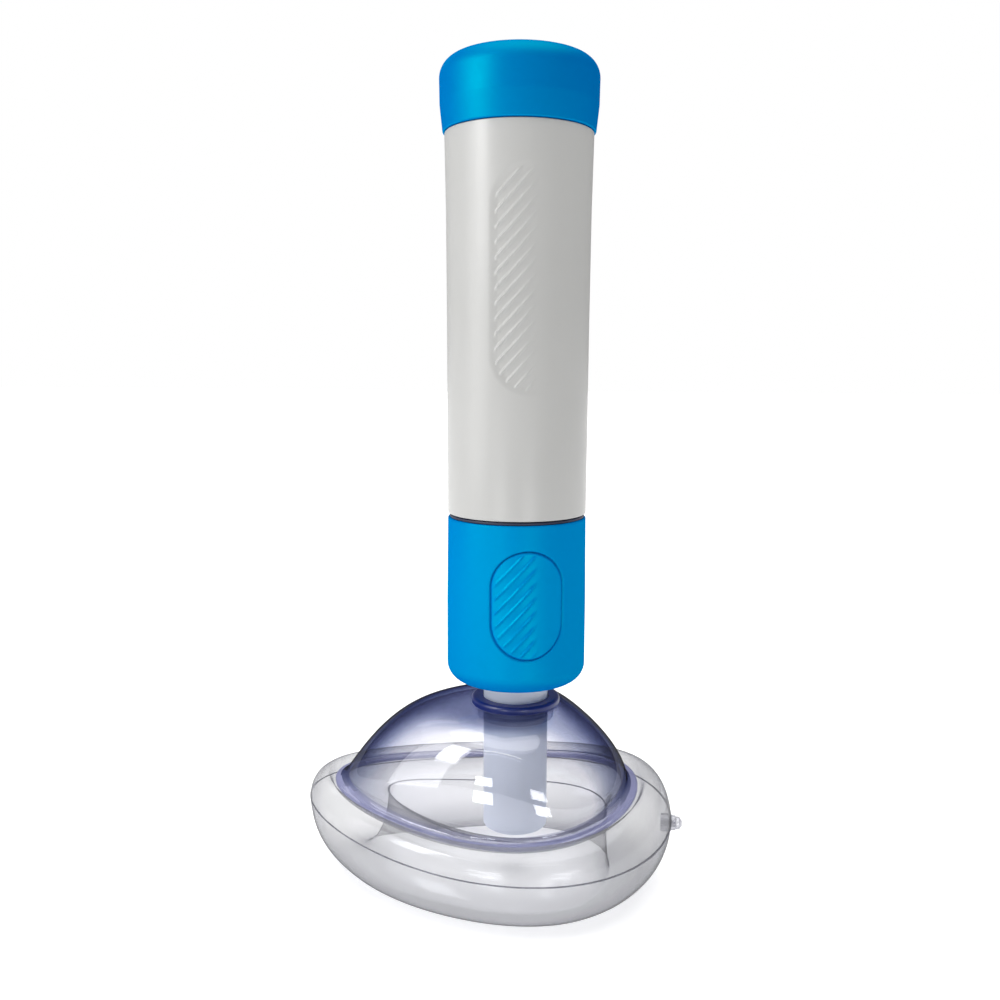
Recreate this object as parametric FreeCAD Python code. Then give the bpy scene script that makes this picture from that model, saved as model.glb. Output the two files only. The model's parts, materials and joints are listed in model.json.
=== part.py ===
"""Hand-pulled airway suction pump on an air-cushion face mask, one STEP file per piece, in millimetres.

Frame: +Z up, origin on the floor under the middle of the mask's outline, nose end at -X, chin end at +X.
The mask sits on its cushion, the airway tube stands in the mask's 22 mm port, and the pump stands on the
tube. The lower housing carries the cylinder. The grip sleeve, cap, rod and piston pull up together.
"""
import FreeCAD, Part
import math
import os

V = FreeCAD.Vector

# Mask outline, seen from above, about the pump's axis
PUMP_X = 7.4            # pump axis, so that cushion and inflation plug are centred on X
PUMP_TURN = 15.7        # degrees the pump is swivelled round on the tube
OUTER_MIDDLE = -5.6
OUTER_LENGTH = 63.2     # half length of the seam outline
OUTER_WIDTH = 50.7      # half width of the seam outline
INNER_MIDDLE = -9.3     # the inner outline that insets are measured towards
INNER_LENGTH = 35.2
INNER_WIDTH = 23.0
RIM_MIDDLE = -2.8       # the rim of the opening for the face, where the cushion turns under
RIM_LENGTH = 38.4
RIM_WIDTH = 24.5
BLUNTNESS = 3.7         # makes the nose longer and the chin blunter
NOSE_TAPER = 0.19       # the nose end is narrower than the chin end
RING_WIDTH = 28.0       # inset of the inner outline from the seam outline

# Cushion heights above the floor
SEAM_Z, SEAM_NOSE, SEAM_CHIN = 19.9, 5.5, 1.6
FLOOR_NOSE, FLOOR_CHIN = 4.4, 1.8
RIM_Z = 21.0
BOTTOM_INSET = 18.0
CREST_INSET = 13.0
LAND_DEPTH = 0.6        # how much the cushion flattens where it rests
FILM = 1.2

# Dome
FLANGE_Z, FLANGE_NOSE, FLANGE_CHIN = 27.0, 4.7, 6.0
FLANGE_EDGE = 10.2      # inset of the flange's rim from the seam outline
FLANGE_THICK = 1.5
FOOT_INSET = 13.2
DOME_WALL = 1.8
DOME_TOP_Z = 60.0
SHOULDER_R, NECK_R = 15.0, 12.6
WALL_TURN = 0.7         # how far up the wall it starts to turn over into the top
NOSE_CURVE, CHIN_CURVE, SIDE_CURVE = (0.89, 0.34), (1.75, 0.98), (1.93, 0.24)
COLLAR_R, COLLAR_BOTTOM_Z, COLLAR_TOP_Z = 13.0, 47.0, 62.4
NECK_RING_R, NECK_RING_TOP_Z = 15.1, 62.9
LOOSE = 0.1             # gap between pieces that are bonded or pressed together

# Airway tube, 22 mm standard connector
TUBE_R, TUBE_WALL = 11.0, 1.6
TUBE_BOTTOM_Z, TUBE_TOP_Z = 16.5, 78.4
TUBE_FLANGE_R, TUBE_FLANGE_Z = 12.3, 76.3
RUNNING = 0.05          # radial clearance of every running fit
FREE = 0.3              # clearance between pieces that move past each other

# Inflation valve
VALVE_Z, VALVE_R, VALVE_BORE = 19.5, 3.0, 1.4
VALVE_START_X, VALVE_END_X, PLUG_END_X = 50.5, 55.6, 57.7
PLUG_HEAD_R, PLUG_SHANK = 2.5, 4.0

# Lower housing
HOUSING_BOTTOM_Z, HOUSING_TOP_Z = 69.3, 125.0
HOUSING_R_LOW, HOUSING_R_TOP = 23.4, 23.1
HOUSING_ROUND = 5.8
HOUSING_INNER_R, HOUSING_FLOOR = 20.9, 2.2
PORT_R = 14.5
PLATE_TOP_Z = 76.0
TUBE_SEAL_Z, TUBE_SEAL_THICK = 74.0, 1.5
TUBE_GROOVE_R, TUBE_GROOVE_HEIGHT = 12.9, 1.8
GASKET_R, GASKET_TOP_Z = 22.5, 126.0

# Cylinder
BORE_R, CYLINDER_R = 17.2, 19.0
BASE_Z, BASE_SPIGOT_Z = 84.0, 88.0
PASSAGE_R = 9.8         # air passage in the base, a little wider than the tube's bore
PASSAGE_TOP_Z, INLET_LEDGE_Z = 82.5, 85.5
BASE_SEAL_Z, BASE_SEAL_R, BASE_SEAL_THICK = 86.0, 16.5, 1.1
BASE_GROOVE_R, BASE_GROOVE_HEIGHT = 15.9, 1.6
CYLINDER_TOP_Z = 238.0
HEAD_BOTTOM_Z, HEAD_TOP_Z = 232.0, 240.4
BUSH_R, BUSH_BOTTOM_Z = 6.5, 230.4
SCREW_R, SCREW_HEAD_R, SCREW_HEAD = 1.1, 1.8, 1.6
SCREW_SLOT, SCREW_SLOT_DEPTH = 0.5, 0.7
BASE_SCREW_CIRCLE, BASE_SCREW_BOTTOM_Z = 13.9, 72.5
HEAD_SCREW_Z, HEAD_SCREW_START = 235.0, BORE_R - 5.0
VENT_R, VENT_CIRCLE = 1.6, 11.0

# Valves
FLAP_THICK = 0.8
INLET_HOLE_R, INLET_FLAP_R = 6.0, 7.6
CAGE_R, CAGE_TOP_Z, CAGE_ROOF = 10.4, 92.4, 1.4
CAGE_WINDOW_R, CAGE_WINDOW_CIRCLE = 1.7, 5.0
EXHAUST_FLAP_R, EXHAUST_HOLE_R, EXHAUST_CIRCLE = 13.4, 1.6, 10.0
STOP_HUB_R, STOP_RIM_R = 5.0, 9.0
STOP_RIM_Z, STOP_TOP_Z = 106.0, 107.2

# Grip sleeve, cap and piston
STROKE = 95.0
SLEEVE_BOTTOM_Z, SLEEVE_EDGE_Z, SLEEVE_TOP_Z = 126.3, 248.5, 256.0
SLEEVE_FLARE = ((23.1, 126.9), (23.22, 160.0), (23.3, 190.0), (23.54, 225.0), (24.0, SLEEVE_EDGE_Z))
SLEEVE_R = 23.3         # at the pads
SLEEVE_INNER_R, SLEEVE_SPIGOT_R = 21.2, 22.7
CAP_BOTTOM_Z, CAP_RIM_Z, CAP_CROWN_Z = 248.7, 271.2, 273.0
CAP_EDGE_R, CAP_R, CAP_ROUND, CAP_WALL = 24.6, 25.7, 6.8, 2.4
BOSS_R, BOSS_BOTTOM_Z = 7.5, 251.0
ROD_R, ROD_TOP_Z, ROD_END_R = 4.0, 264.0, 3.0
CROWN_BOTTOM_Z, CROWN_TOP_Z, CROWN_R = 93.6, 103.0, 16.6
PIN_R, PIN_Z = 1.5, 257.0
PISTON_GROOVE_R = 15.0
LIP_GROOVE_Z = (99.3, 101.9)
BAND_GROOVE_Z = (94.9, 98.2)
LIP_HEIGHT = 0.8
NUT_POCKET_R, NUT_POCKET, NUT_R, NUT_HEIGHT = 6.0, 4.0, 5.3, 3.3
SPACER_R, BUMPER_R, BUMPER_HEIGHT = 6.0, 7.0, 3.0
GUIDE_RING_Z = (127.0, 134.0)

# Grip pads
PAD_WIDTH = 24.0
PAD_DEPTH = 0.9
PAD_GAP = 0.35
HOUSING_PAD_Z = (81.1, 116.9)
SLEEVE_PAD_Z = (166.1, 236.1)
RIB_PITCH, RIB_WIDTH, RIB_SLOPE = 4.6, 1.0, 48.0
RIB_MARGIN = 1.4                 # from a pad's outline to the ends of its ribs
RIB_END = 2.5                    # the ribs stop this far past the pad's middle line
HOLLOW_DEPTH, HOLLOW_SHIFT = 0.2, 0.8

NODES = {}


# ---- helpers ----

def closed_profile(points):
    """A face in the XZ plane. A point is (r, z), or (r, z, 'arc') for a point an arc passes through."""
    edges = []
    start = V(points[0][0], 0, points[0][1])
    here = start
    through = None
    for point in list(points[1:]) + [points[0]]:
        there = V(point[0], 0, point[1])
        if len(point) == 3:
            through = there
            continue
        if through is None:
            edges.append(Part.LineSegment(here, there).toShape())
        else:
            edges.append(Part.Arc(here, through, there).toShape())
        here = there
        through = None
    return Part.Face(Part.Wire(edges))


def turned(*points):
    """The profile turned round the pump's axis."""
    return closed_profile(points).revolve(V(0, 0, 0), V(0, 0, 1), 360)


def disc(radius, low, high, x=0.0):
    return Part.makeCylinder(radius, high - low, V(x, 0, low))


def sideways(radius, start, end, height):
    """A round bar that points outwards along X."""
    return Part.makeCylinder(radius, end - start, V(start, 0, height), V(1, 0, 0))


def ring(outer, inner, low, high):
    return disc(outer, low, high).cut(disc(inner, low - 1, high + 1))


def cord_ring(middle_radius, thickness, height):
    """A round seal ring."""
    return Part.makeTorus(middle_radius, thickness / 2, V(0, 0, height), V(0, 0, 1))


def on_circle(shape, count):
    """Copies of a shape, spaced evenly round the pump's axis."""
    copies = []
    for index in range(count):
        copy = shape.copy()
        copy.rotate(V(0, 0, 0), V(0, 0, 1), 360.0 * index / count)
        copies.append(copy)
    return copies


def cut_all(shape, tools):
    return shape.cut(Part.makeCompound(tools))


def keep(name, shape):
    NODES[name] = shape


def keep_on_pump(name, shape):
    """Keep a piece made about the Z axis, turned and moved to where the pump stands."""
    shape = shape.copy()
    shape.rotate(V(0, 0, 0), V(0, 0, 1), PUMP_TURN)
    shape.translate(V(PUMP_X, 0, 0))
    keep(name, shape)


# ---- mask ----

def egg(angle, middle, length, width, blunt):
    """A point of an egg-shaped outline, narrow at the nose."""
    c = math.cos(angle)
    x = middle + length * c - blunt * c * c
    y = width * math.sin(angle) * (1 + NOSE_TAPER * c)
    return x + PUMP_X, y


def inset_point(angle, inset):
    """A point of the mask's plan, so far in from the seam outline."""
    share = inset / RING_WIDTH
    outer = egg(angle, OUTER_MIDDLE, OUTER_LENGTH, OUTER_WIDTH, BLUNTNESS)
    inner = egg(angle, INNER_MIDDLE, INNER_LENGTH, INNER_WIDTH, BLUNTNESS)
    return tuple(a + (b - a) * share for a, b in zip(outer, inner))


def rim_point(angle):
    return egg(angle, RIM_MIDDLE, RIM_LENGTH, RIM_WIDTH, BLUNTNESS)


def part_way(start, end, share, short=0.0):
    """A point a share of the way from one point to a place that stops short of another."""
    reach = 1 - short / math.dist(start, end)
    return tuple(a + (b - a) * share * reach for a, b in zip(start, end))


def end_lift(angle, nose, chin, power=2):
    """How much the mask's edge curves up towards the nose and the chin."""
    c = math.cos(angle)
    return (nose if c < 0 else chin) * abs(c) ** power


def poles_through(points):
    """Poles of the closed smooth surface that passes through a grid of points."""
    def blurred(grid, across):
        rows, columns = len(grid), len(grid[0])
        out = []
        for i in range(rows):
            line = []
            for j in range(columns):
                before = grid[i][j - 1] if across else grid[i - 1][j]
                after = grid[i][(j + 1) % columns] if across else grid[(i + 1) % rows][j]
                line.append((before + grid[i][j] * 4 + after) * (1 / 6))
            out.append(line)
        return out

    poles = points
    for step in range(12):
        surface = blurred(blurred(poles, False), True)
        poles = [[p + q - s for p, q, s in zip(*rows)] for rows in zip(poles, points, surface)]
    return poles


def closed_band(section, turns, exact):
    """A solid whose closed section travels once round the mask."""
    grid = [section(2 * math.pi * step / turns) for step in range(turns)]
    poles = poles_through(grid) if exact else grid
    rows, columns = len(poles), len(poles[0])
    surface = Part.BSplineSurface()
    surface.buildFromPolesMultsKnots(
        poles, [1] * (rows + 1), [1] * (columns + 1),
        list(range(rows + 1)), list(range(columns + 1)), True, True, 3, 3)
    solid = Part.Solid(Part.Shell([Part.Face(surface)]))
    if solid.Volume < 0:
        solid.reverse()
    return solid


def cushion_section(angle, skin):
    """The inflated ring's section, four quarter ellipses, moved in by a skin."""
    seam = SEAM_Z + end_lift(angle, SEAM_NOSE, SEAM_CHIN)
    rim = RIM_Z + end_lift(angle, SEAM_NOSE, SEAM_CHIN)
    bottom = end_lift(angle, FLOOR_NOSE, FLOOR_CHIN, 4) - LAND_DEPTH + skin
    crest = FLANGE_Z + end_lift(angle, FLANGE_NOSE, FLANGE_CHIN) - FLANGE_THICK - LOOSE - skin
    points = []
    for step in range(24):
        turn = 2 * math.pi * step / 24
        c, s = math.cos(turn), math.sin(turn)
        middle = inset_point(angle, CREST_INSET if s >= 0 else BOTTOM_INSET)
        level = seam if c >= 0 else rim
        side = inset_point(angle, 0.0) if c >= 0 else rim_point(angle)
        rise = crest - level if s >= 0 else level - bottom
        x, y = part_way(middle, side, abs(c), skin)
        points.append(V(x, y, level + rise * s))
    return points


def mask_cushion():
    outside = closed_band(lambda angle: cushion_section(angle, 0.0), 48, True)
    inside = closed_band(lambda angle: cushion_section(angle, FILM), 48, True)
    below = Part.makeBox(200, 200, 20, V(-100, -100, -20))
    valve_hole = along_x(VALVE_R + LOOSE, VALVE_START_X - 4, VALVE_START_X + 16)
    return outside.cut(below).cut(inside).cut(valve_hole)


def dome_section(angle):
    """The dome wall's section: up the inside, over the neck, down the outside and round the flange."""
    flange = FLANGE_Z + end_lift(angle, FLANGE_NOSE, FLANGE_CHIN)
    c = math.cos(angle)
    end_curve = NOSE_CURVE if c < 0 else CHIN_CURVE
    bulge, fullness = (end * c * c + side * (1 - c * c) for end, side in zip(end_curve, SIDE_CURVE))

    def wall(height, depth):
        """A point of the wall, a share of the way up, so deep under the outer face."""
        spread = (1 - height ** bulge) ** fullness
        foot = inset_point(angle, FOOT_INSET + depth)
        x, y = part_way(round_neck(SHOULDER_R - 0.4 * depth, foot), foot, spread)
        return V(x, y, flange + (DOME_TOP_Z - depth - flange) * height)

    def round_neck(radius, foot):
        heading = math.atan2(foot[1], foot[0] - PUMP_X)
        return PUMP_X + radius * math.cos(heading), radius * math.sin(heading)

    def rim(inset, drop):
        x, y = inset_point(angle, inset)
        return V(x, y, flange - drop)

    turn_spread = (1 - WALL_TURN ** bulge) ** fullness
    spreads = [turn_spread * share for share in (1.0, 0.82, 0.64, 0.46, 0.28, 0.12, 0.0)]
    heights = [0.06, 0.18, 0.31, 0.44, 0.57] + [(1 - s ** (1 / fullness)) ** (1 / bulge) for s in spreads]
    neck = round_neck(NECK_R, inset_point(angle, FOOT_INSET))
    inside = [wall(height, DOME_WALL) for height in heights] + [V(*neck, DOME_TOP_Z - DOME_WALL)]
    outside = [V(*neck, DOME_TOP_Z)] + [wall(height, 0.0) for height in reversed(heights)]
    middle = (FLANGE_EDGE + FOOT_INSET) / 2
    edge = [rim(inset, 0.0) for inset in (FOOT_INSET, middle, FLANGE_EDGE)]
    under = [rim(inset, FLANGE_THICK) for inset in (FLANGE_EDGE, middle, FOOT_INSET, FOOT_INSET + DOME_WALL)]
    return inside + outside + edge + under


def mask_dome():
    shell = closed_band(dome_section, 60, False)
    collar = disc(COLLAR_R, COLLAR_BOTTOM_Z, COLLAR_TOP_Z, PUMP_X)
    bore = disc(TUBE_R + RUNNING, COLLAR_BOTTOM_Z - 5, COLLAR_TOP_Z + 5, PUMP_X)
    return shell.fuse(collar).cut(bore)


def neck_ring():
    inner = COLLAR_R + LOOSE
    low = DOME_TOP_Z + LOOSE
    edge = 0.8
    return turned(
        (inner, low), (NECK_RING_R, low), (NECK_RING_R, NECK_RING_TOP_Z - edge),
        (NECK_RING_R - edge * 0.3, NECK_RING_TOP_Z - edge * 0.3, "arc"),
        (NECK_RING_R - edge, NECK_RING_TOP_Z), (inner, NECK_RING_TOP_Z))


def along_x(radius, start, end):
    """A round bar on the inflation valve's axis, between two distances from the pump's axis."""
    return sideways(radius, start + PUMP_X, end + PUMP_X, VALVE_Z)


def inflation_valve():
    stem = along_x(VALVE_R, VALVE_START_X, VALVE_END_X)
    return stem.cut(along_x(VALVE_BORE, VALVE_START_X - 1, VALVE_END_X + 1))


def inflation_plug():
    head = along_x(PLUG_HEAD_R, VALVE_END_X + LOOSE, PLUG_END_X)
    rim = [edge for edge in head.Edges if abs(edge.BoundBox.XMin - PLUG_END_X - PUMP_X) < 0.01]
    head = head.makeFillet(0.8, rim[:1])
    shank = along_x(VALVE_BORE - RUNNING, VALVE_END_X - PLUG_SHANK, VALVE_END_X + 2 * LOOSE)
    return head.fuse(shank)


def make_mask():
    keep("mask_cushion", mask_cushion())
    keep("mask_dome", mask_dome())
    ring_piece = neck_ring()
    ring_piece.translate(V(PUMP_X, 0, 0))
    keep("neck_ring", ring_piece)
    keep("inflation_valve", inflation_valve())
    keep("inflation_plug", inflation_plug())


# ---- airway tube ----

def airway_tube():
    inner = TUBE_R - TUBE_WALL
    edge = TUBE_WALL / 2
    return turned(
        (inner, TUBE_BOTTOM_Z + edge), (TUBE_R - edge, TUBE_BOTTOM_Z, "arc"), (TUBE_R, TUBE_BOTTOM_Z + edge),
        (TUBE_R, TUBE_FLANGE_Z), (TUBE_FLANGE_R, TUBE_FLANGE_Z), (TUBE_FLANGE_R, TUBE_TOP_Z),
        (inner, TUBE_TOP_Z))


# ---- pump: lower housing, cylinder and inlet valve ----

def stadium(width, low, high, margin):
    """A long rounded prism that points forwards from the pump's axis, for cutting a grip pad."""
    half = width / 2 - margin
    bottom, top = low + margin + half, high - margin - half
    middle = Part.makeBox(2 * half, 40, top - bottom, V(-half, -40, bottom))
    ends = [Part.makeCylinder(half, 40, V(0, 0, z), V(0, -1, 0)) for z in (bottom, top)]
    return middle.multiFuse(ends)


def both_sides(shape):
    back = shape.copy()
    back.rotate(V(0, 0, 0), V(0, 0, 1), 180)
    return [shape, back]


def pad_recess(radius, span):
    """What is cut away for one pad: the layer outside a radius, within the pad's outline."""
    outside = ring(radius + 5, radius - PAD_DEPTH, span[0] - 1, span[1] + 1)
    return stadium(PAD_WIDTH, span[0], span[1], 0.0).common(outside)


def ribs(radius, span):
    """Slanted ribs that follow the pump's round side, on the left part of a pad."""
    layer = ring(radius, radius - PAD_DEPTH, span[0] - 1, span[1] + 1)
    layer = stadium(PAD_WIDTH, span[0], span[1], RIB_MARGIN).common(layer)
    left = Part.makeBox(PAD_WIDTH, 40, span[1] - span[0], V(RIB_END - PAD_WIDTH, -40, span[0]))
    bars = []
    count = round((span[1] - span[0]) / RIB_PITCH) + 6
    middle = (span[0] + span[1]) / 2
    for index in range(count):
        bar = Part.makeBox(3 * PAD_WIDTH, 40, RIB_WIDTH, V(-1.5 * PAD_WIDTH, -40, -RIB_WIDTH / 2))
        bar.rotate(V(0, 0, 0), V(0, 1, 0), -RIB_SLOPE)
        bar.translate(V(0, 0, middle + (index - (count - 1) / 2) * RIB_PITCH))
        bars.append(bar)
    return layer.common(left).common(Part.makeCompound(bars))


def thumb_pad():
    """A pad let into the housing, with raised ribs."""
    low, high = HOUSING_PAD_Z
    face = HOUSING_R_LOW - 0.3
    plate = ring(face, HOUSING_R_LOW - PAD_DEPTH + 0.05, low, high)
    plate = stadium(PAD_WIDTH, low, high, PAD_GAP).common(plate)
    return plate.multiFuse(ribs(face + 0.5, HOUSING_PAD_Z).Solids)


def lower_housing():
    low, top = HOUSING_BOTTOM_Z, HOUSING_TOP_Z
    round_mid = HOUSING_ROUND * (1 - math.sqrt(0.5))
    shell = turned(
        (PORT_R + LOOSE, low), (HOUSING_R_LOW - HOUSING_ROUND, low),
        (HOUSING_R_LOW - round_mid, low + round_mid, "arc"), (HOUSING_R_LOW, low + HOUSING_ROUND),
        (HOUSING_R_LOW - 0.1, 97.0, "arc"), (HOUSING_R_TOP, top), (HOUSING_INNER_R, top),
        (HOUSING_INNER_R, low + HOUSING_FLOOR + 2.0), (HOUSING_INNER_R - 2.0, low + HOUSING_FLOOR),
        (PORT_R + LOOSE, low + HOUSING_FLOOR))
    return cut_all(shell, both_sides(pad_recess(HOUSING_R_LOW, HOUSING_PAD_Z)))


def nozzle_plate():
    """The floor plate that the airway tube turns in, with a groove for its seal."""
    bore = TUBE_R + RUNNING
    nose = HOUSING_BOTTOM_Z + 0.3
    low = HOUSING_BOTTOM_Z + HOUSING_FLOOR + LOOSE
    outer = HOUSING_INNER_R - LOOSE
    bevel = 2.1
    groove_low = TUBE_SEAL_Z - TUBE_GROOVE_HEIGHT / 2
    groove_top = TUBE_SEAL_Z + TUBE_GROOVE_HEIGHT / 2
    plate = turned(
        (bore, nose), (PORT_R, nose), (PORT_R, low), (outer - bevel, low), (outer, low + bevel),
        (outer, PLATE_TOP_Z), (bore, PLATE_TOP_Z), (bore, groove_top), (TUBE_GROOVE_R, groove_top),
        (TUBE_GROOVE_R, groove_low), (bore, groove_low))
    screw_hole = disc(SCREW_R, BASE_SCREW_BOTTOM_Z, PLATE_TOP_Z + 1, BASE_SCREW_CIRCLE)
    return cut_all(plate, on_circle(screw_hole, 3))


def cylinder_base():
    """Carries the cylinder, holds the tube's flange down and forms the inlet valve's seat."""
    outer = HOUSING_INNER_R - LOOSE
    recess = TUBE_FLANGE_R + FREE
    spigot = BORE_R - LOOSE
    groove_low = BASE_SEAL_Z - BASE_GROOVE_HEIGHT / 2
    groove_top = BASE_SEAL_Z + BASE_GROOVE_HEIGHT / 2
    base = turned(
        (recess, PLATE_TOP_Z + LOOSE), (outer, PLATE_TOP_Z + LOOSE), (outer, BASE_Z), (spigot, BASE_Z),
        (spigot, groove_low), (BASE_GROOVE_R, groove_low), (BASE_GROOVE_R, groove_top), (spigot, groove_top),
        (spigot, BASE_SPIGOT_Z), (INLET_HOLE_R, BASE_SPIGOT_Z), (INLET_HOLE_R, INLET_LEDGE_Z),
        (PASSAGE_R, PASSAGE_TOP_Z), (PASSAGE_R, TUBE_TOP_Z + FREE), (recess, TUBE_TOP_Z + FREE))
    shank = disc(SCREW_R, PLATE_TOP_Z - 1, BASE_SPIGOT_Z + 1, BASE_SCREW_CIRCLE)
    head = disc(SCREW_HEAD_R + LOOSE, BASE_SPIGOT_Z - SCREW_HEAD, BASE_SPIGOT_Z + 1, BASE_SCREW_CIRCLE)
    return cut_all(base, on_circle(shank.fuse(head), 3))


def base_screws():
    head = disc(SCREW_HEAD_R, BASE_SPIGOT_Z - SCREW_HEAD, BASE_SPIGOT_Z - LOOSE, BASE_SCREW_CIRCLE)
    slot = Part.makeBox(
        4, SCREW_SLOT, SCREW_SLOT_DEPTH,
        V(BASE_SCREW_CIRCLE - 2, -SCREW_SLOT / 2, BASE_SPIGOT_Z - SCREW_SLOT_DEPTH))
    shank = disc(SCREW_R, BASE_SCREW_BOTTOM_Z, BASE_SPIGOT_Z - SCREW_HEAD + 0.1, BASE_SCREW_CIRCLE)
    return Part.makeCompound(on_circle(head.fuse(shank).cut(slot), 3))


def pump_cylinder():
    tube = ring(CYLINDER_R, BORE_R, BASE_Z, CYLINDER_TOP_Z)
    hole = sideways(SCREW_R, BORE_R - 1, CYLINDER_R + 1, HEAD_SCREW_Z)
    return cut_all(tube, on_circle(hole, 3))


def inlet_valve_cage():
    """A spider that stops the inlet flap from lifting too far."""
    low = BASE_SPIGOT_Z + LOOSE
    wall = ring(CAGE_R, INLET_FLAP_R + 0.4, low, CAGE_TOP_Z)
    roof = disc(CAGE_R, CAGE_TOP_Z - CAGE_ROOF, CAGE_TOP_Z)
    window = disc(CAGE_WINDOW_R, CAGE_TOP_Z - 2 * CAGE_ROOF, CAGE_TOP_Z + 1, CAGE_WINDOW_CIRCLE)
    windows = on_circle(window, 6)
    return cut_all(wall.fuse(roof), windows)


def flap(radius, inner, low):
    return ring(radius, inner, low, low + FLAP_THICK) if inner else disc(radius, low, low + FLAP_THICK)


def cylinder_head():
    """The plug in the cylinder's top, with the rod bush's bore and vent holes."""
    bevel = 0.8
    head = turned(
        (BUSH_R, HEAD_BOTTOM_Z), (BORE_R - LOOSE, HEAD_BOTTOM_Z), (BORE_R - LOOSE, CYLINDER_TOP_Z),
        (CYLINDER_R, CYLINDER_TOP_Z), (CYLINDER_R, HEAD_TOP_Z - bevel), (CYLINDER_R - bevel, HEAD_TOP_Z),
        (BUSH_R, HEAD_TOP_Z))
    vent = disc(VENT_R, HEAD_BOTTOM_Z - 1, HEAD_TOP_Z + 1, VENT_CIRCLE)
    vent.rotate(V(0, 0, 0), V(0, 0, 1), 30)
    thread = sideways(SCREW_R, HEAD_SCREW_START, BORE_R + 1, HEAD_SCREW_Z)
    return cut_all(head, on_circle(vent, 6) + on_circle(thread, 3))


def head_screws():
    shank = sideways(SCREW_R, HEAD_SCREW_START, CYLINDER_R, HEAD_SCREW_Z)
    head = sideways(SCREW_HEAD_R, CYLINDER_R, CYLINDER_R + 1, HEAD_SCREW_Z)
    return Part.makeCompound(on_circle(shank.fuse(head), 3))


def make_pump():
    seal_middle = (TUBE_R + RUNNING + TUBE_GROOVE_R) / 2 + LOOSE
    pad = thumb_pad()
    keep_on_pump("lower_housing", lower_housing())
    for name, side in zip(("thumb_pad_front", "thumb_pad_back"), both_sides(pad)):
        keep_on_pump(name, side)
    keep_on_pump("nozzle_plate", nozzle_plate())
    keep_on_pump("tube_seal", cord_ring(seal_middle, TUBE_SEAL_THICK, TUBE_SEAL_Z))
    keep_on_pump("cylinder_base", cylinder_base())
    keep_on_pump("base_screws", base_screws())
    keep_on_pump("cylinder_seal", cord_ring(BASE_SEAL_R, BASE_SEAL_THICK, BASE_SEAL_Z))
    keep_on_pump("pump_cylinder", pump_cylinder())
    keep_on_pump("inlet_valve_cage", inlet_valve_cage())
    keep_on_pump("inlet_flap", flap(INLET_FLAP_R, 0, BASE_SPIGOT_Z + LOOSE))
    keep_on_pump("cylinder_head", cylinder_head())
    keep_on_pump("head_screws", head_screws())
    keep_on_pump("rod_bush", ring(BUSH_R, ROD_R + RUNNING, BUSH_BOTTOM_Z, CYLINDER_TOP_Z))
    keep_on_pump("rod_wiper", ring(BUSH_R, ROD_R + FREE, CYLINDER_TOP_Z + LOOSE, HEAD_TOP_Z))
    keep_on_pump("joint_gasket", ring(GASKET_R, CYLINDER_R + LOOSE, HOUSING_TOP_Z, GASKET_TOP_Z))


# ---- handle: grip sleeve, cap, rod and piston ----

def finger_hollow():
    """What is cut from the sleeve: deepest at the pad's left edge and running out past its middle."""
    low, high = SLEEVE_PAD_Z
    floor = disc(SLEEVE_R - HOLLOW_DEPTH, low - 1, high + 1, x=HOLLOW_SHIFT)
    outside = disc(SLEEVE_R + 5, low - 1, high + 1).cut(floor)
    return stadium(PAD_WIDTH, low, high, 0.0).common(outside)


def grip_sleeve():
    """The grey outer sleeve, with a ribbed hollow for the fingers on its front and back."""
    edge = 0.6
    shell = turned(
        (SLEEVE_INNER_R, SLEEVE_BOTTOM_Z), (SLEEVE_FLARE[0][0] - edge, SLEEVE_BOTTOM_Z), *SLEEVE_FLARE,
        (SLEEVE_SPIGOT_R, SLEEVE_EDGE_Z), (SLEEVE_SPIGOT_R, SLEEVE_TOP_Z), (SLEEVE_INNER_R, SLEEVE_TOP_Z))
    shell = cut_all(shell, both_sides(finger_hollow()))
    raised = ribs(SLEEVE_R - HOLLOW_DEPTH / 2, SLEEVE_PAD_Z)
    rib_solids = [rib for side in both_sides(raised) for rib in side.Solids]
    return shell.multiFuse(rib_solids)


def top_cap():
    crown_sag = CAP_CROWN_Z - CAP_RIM_Z
    corner_r = CAP_R - CAP_ROUND
    corner_z = CAP_RIM_Z - CAP_ROUND
    diagonal = CAP_ROUND * math.sqrt(0.5)
    inner_r = SLEEVE_SPIGOT_R + LOOSE
    roof = CAP_RIM_Z - CAP_WALL
    shell = turned(
        (0, CAP_CROWN_Z), (corner_r / 2, CAP_CROWN_Z - crown_sag / 4, "arc"), (corner_r, CAP_RIM_Z),
        (corner_r + diagonal, corner_z + diagonal, "arc"), (CAP_R, corner_z),
        (CAP_R - 0.2, 257.0, "arc"), (CAP_EDGE_R + 0.3, CAP_BOTTOM_Z + 0.6),
        (CAP_EDGE_R - 0.3, CAP_BOTTOM_Z), (inner_r, CAP_BOTTOM_Z), (inner_r, corner_z),
        (corner_r, roof), (BOSS_R, roof), (BOSS_R, BOSS_BOTTOM_Z), (ROD_R, BOSS_BOTTOM_Z),
        (ROD_R, ROD_TOP_Z), (0, ROD_TOP_Z))
    return shell.cut(rod_pin())


def rod_pin():
    """The cross pin that holds the rod in the cap's boss."""
    return sideways(PIN_R, 0.5 - BOSS_R, BOSS_R - 0.5, PIN_Z)


def piston_rod():
    shank = disc(ROD_R, CROWN_TOP_Z, ROD_TOP_Z)
    end = disc(ROD_END_R, CROWN_BOTTOM_Z + 0.2, CROWN_TOP_Z)
    return shank.fuse(end).cut(rod_pin())


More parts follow.
